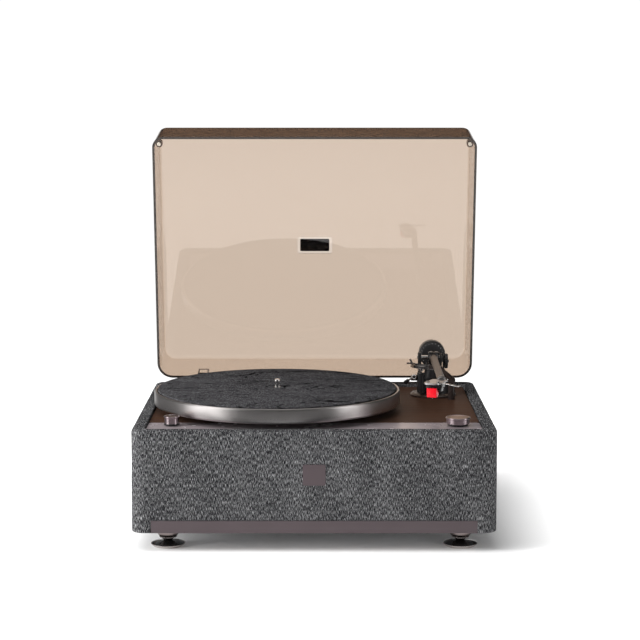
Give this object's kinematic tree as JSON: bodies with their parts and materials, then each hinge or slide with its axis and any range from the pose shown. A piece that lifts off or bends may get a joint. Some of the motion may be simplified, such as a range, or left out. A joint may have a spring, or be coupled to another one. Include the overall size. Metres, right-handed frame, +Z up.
{
  "type": "record player",
  "caption": "Belt-drive record player: fabric-covered box with built-in speakers, hinged clear dust cover standing open, straight tonearm, two knobs and cone feet.",
  "frame": {"origin": "middle of the footprint on the surface it stands on, with the cover open", "axes": "+X to the right seen from the front, +Y away from the user towards the hinges, +Z up"},
  "size_m": [0.42, 0.3976, 0.4779],
  "materials": {
    "fabric_grey": "woven, heather grey",
    "board": "raw fibreboard",
    "taupe_plastic": "satin",
    "deck_brown": "satin",
    "black_plastic": "matt",
    "gloss_black": "gloss",
    "clear_cover": "clear, slightly smoked",
    "steel": "ground",
    "bright_steel": "polished",
    "platter_metal": "satin turned",
    "knob_metal": "satin anodised",
    "arm_tube_metal": "satin anodised",
    "silver_metal": "satin",
    "sintered_bronze": "matt",
    "mat_felt": "matt, streaked",
    "belt_rubber": "ground",
    "soft_rubber": "matt",
    "cone_paper": "matt",
    "circuit_board": "matt",
    "cartridge_black": "gloss",
    "cartridge_red": "gloss",
    "foot_metal": "satin"
  },
  "bodies": {
    "cabinet": {"cabinet_carcass": "board", "fabric_wrap": "fabric_grey", "base_panel": "board", "front_plinth": "taupe_plastic", "badge_plate": "taupe_plastic", "corner_blocks": "board", "deck_panel": "deck_brown", "control_strip": "taupe_plastic", "sub_deck": "board", "bearing_housing": "steel", "bearing_bush": "sintered_bronze", "thrust_ball": "bright_steel", "motor_can": "steel", "drive_belt": "belt_rubber", "amplifier_board": "circuit_board", "volume_pot": "steel", "selector_switch": "steel", "rear_jack_plate": "black_plastic", "rca_jacks": "bright_steel", "aux_jack": "black_plastic", "dc_inlet": "black_plastic", "speaker_frames": "black_plastic", "speaker_cones": "cone_paper", "foot_cones": "foot_metal", "foot_rings": "foot_metal", "foot_discs": "foot_metal", "base_screws": "bright_steel", "tonearm_flange": "black_plastic", "tonearm_pillar": "black_plastic", "arm_rest": "black_plastic", "cue_housing": "black_plastic", "antiskate_bracket": "black_plastic", "hinge_bases": "black_plastic", "hinge_pins": "bright_steel", "hinge_screws": "bright_steel"},
    "lid": {"lid_shell": "clear_cover", "lid_badge_plate": "gloss_black", "lid_bumpers": "soft_rubber", "hinge_leaves": "black_plastic"},
    "platter": {"platter": "platter_metal", "platter_mat": "mat_felt", "spindle": "bright_steel"},
    "pulley": {"motor_pulley": "knob_metal", "motor_shaft": "steel"},
    "yoke": {"tonearm_yoke": "black_plastic"},
    "arm": {"pivot_axle": "steel", "pivot_block": "gloss_black", "arm_tube": "arm_tube_metal", "rear_stub": "bright_steel", "headshell": "silver_metal", "cartridge": "cartridge_black", "stylus": "cartridge_red"},
    "force_dial": {"force_dial": "black_plastic"},
    "counterweight": {"counterweight": "gloss_black"},
    "antiskate_dial": {"antiskate_dial": "black_plastic"},
    "cue_lever": {"cue_lever": "gloss_black"},
    "cue_platform": {"cue_platform": "black_plastic"},
    "arm_clip": {"arm_clip": "black_plastic"},
    "volume_knob": {"volume_knob": "knob_metal"},
    "selector_knob": {"selector_knob": "knob_metal"}
  },
  "joints": [
    {"name": "lid_hinge", "type": "hinge", "parent": "cabinet", "child": "lid", "pos_m": [0, 0.13481, 0.1495], "axis": [-1, 0, 0], "range_deg": [-79.6, 0]},
    {"name": "platter_spin", "type": "hinge", "parent": "cabinet", "child": "platter", "pos_m": [-0.0455, -0.03469, 0.16], "axis": [0, 0, -1], "continuous": true},
    {"name": "pulley_spin", "type": "hinge", "parent": "cabinet", "child": "pulley", "pos_m": [-0.12611, 0.04592, 0.15], "axis": [0, 0, -1], "continuous": true},
    {"name": "arm_swing", "type": "hinge", "parent": "cabinet", "child": "yoke", "pos_m": [0.1515, 0.06681, 0.16], "axis": [0, 0, -1], "range_deg": [0, 45]},
    {"name": "arm_lift", "type": "hinge", "parent": "yoke", "child": "arm", "pos_m": [0.1515, 0.06681, 0.187], "axis": [-1, 0, 0], "range_deg": [-1.6, 12]},
    {"name": "force_dial_slide", "type": "slide", "parent": "arm", "child": "force_dial", "axis": [0.0152, 0.9997, -0.0175], "range_m": [-0.0051, 0.0026]},
    {"name": "counterweight_turn", "type": "hinge", "parent": "force_dial", "child": "counterweight", "pos_m": [0.1515, 0.06681, 0.187], "axis": [0.0152, 0.9997, -0.0175], "range_deg": [-720, 360]},
    {"name": "antiskate_turn", "type": "hinge", "parent": "cabinet", "child": "antiskate_dial", "pos_m": [0.168, 0.06681, 0.1818], "axis": [1, 0, 0], "range_deg": [0, 270]},
    {"name": "cue_lever_turn", "type": "hinge", "parent": "cabinet", "child": "cue_lever", "pos_m": [0.126, 0.04361, 0.165], "axis": [0, 1, 0], "range_deg": [0, 50]},
    {"name": "cue_platform_slide", "type": "slide", "parent": "cabinet", "child": "cue_platform", "axis": [0, 0, 1], "range_m": [-0.0025, 0]},
    {"name": "arm_clip_turn", "type": "hinge", "parent": "cabinet", "child": "arm_clip", "pos_m": [0.1609, 0.02261, 0.177], "axis": [0, -1, 0], "range_deg": [0, 158]},
    {"name": "volume_turn", "type": "hinge", "parent": "cabinet", "child": "volume_knob", "pos_m": [0.1674, -0.14859, 0.14], "axis": [0, 0, -1], "range_deg": [0, 300]},
    {"name": "selector_turn", "type": "hinge", "parent": "cabinet", "child": "selector_knob", "pos_m": [-0.1661, -0.14769, 0.14], "axis": [0, 0, -1], "range_deg": [0, 90]}
  ],
  "couplings": [
    {"joint": "pulley_spin", "follows": "platter_spin", "ratio": 14.364},
    {"joint": "force_dial_slide", "follows": "counterweight_turn", "m_per_rad": 0.00039789},
    {"joint": "cue_lever_turn", "follows": "cue_platform_slide", "rad_per_m": -349.06}
  ]
}
